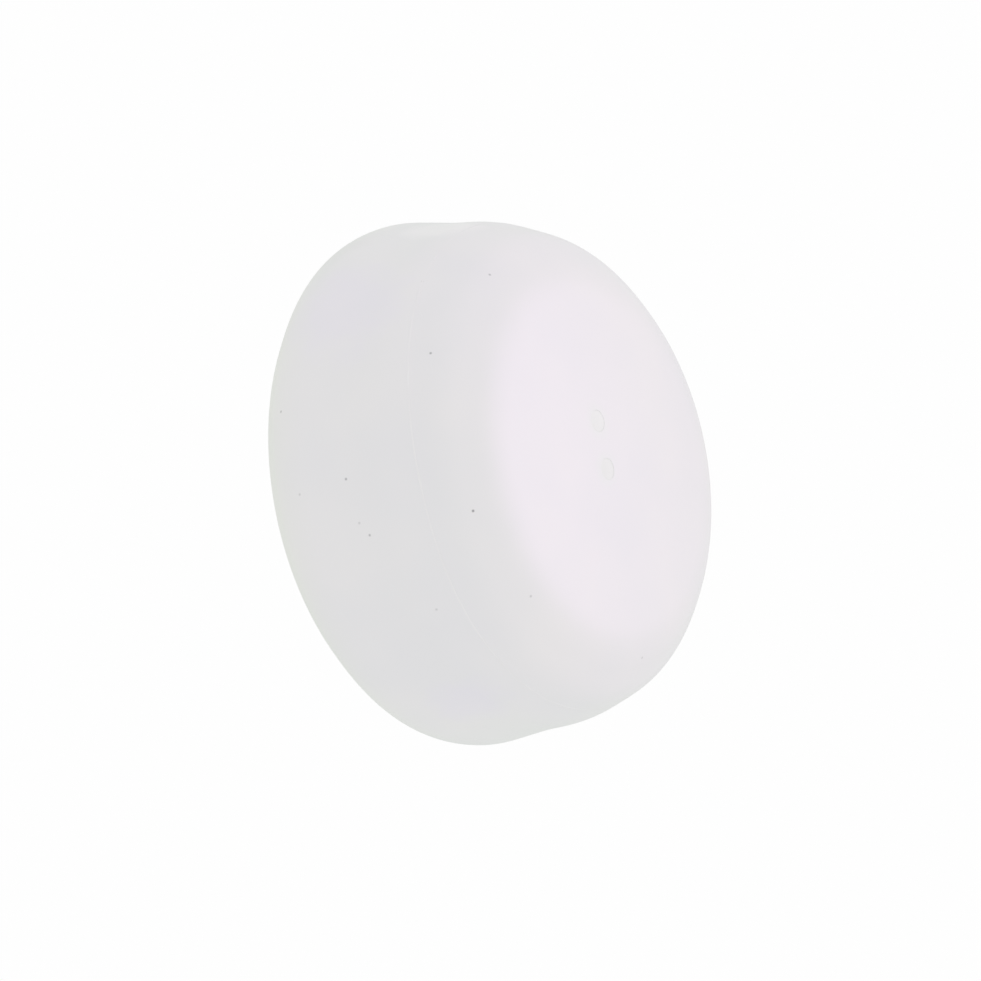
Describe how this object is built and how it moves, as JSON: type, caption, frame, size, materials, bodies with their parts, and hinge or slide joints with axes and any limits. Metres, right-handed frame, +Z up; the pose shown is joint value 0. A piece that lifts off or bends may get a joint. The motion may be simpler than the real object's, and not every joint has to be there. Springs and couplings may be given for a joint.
{
  "type": "raised pavement marker",
  "caption": "Round non-reflective road marker with a crowned face, soft shoulder, waisted belt and flat gritted underside.",
  "frame": {"origin": "centre of the flat underside", "axes": "+Z up along the axis of the round body, away from the road; +Y along the line from the fill port to the vent port of the top face"},
  "size_m": [0.1, 0.1, 0.0514],
  "materials": {
    "shell": "satin white moulded plastic",
    "bead": "smooth white bonding cement",
    "plug": "satin white moulded plastic",
    "plate": "plain moulded plastic",
    "grit": "coarse bonded sand",
    "filler": "cast sand-filled resin"
  },
  "bodies": {
    "root": {"top_shell": "shell", "base_shell": "shell", "seam_bead": "bead", "fill_plug": "plug", "vent_plug": "plug", "base_plate": "plate", "grit_coat": "grit", "filler_core": "filler"}
  },
  "joints": []
}
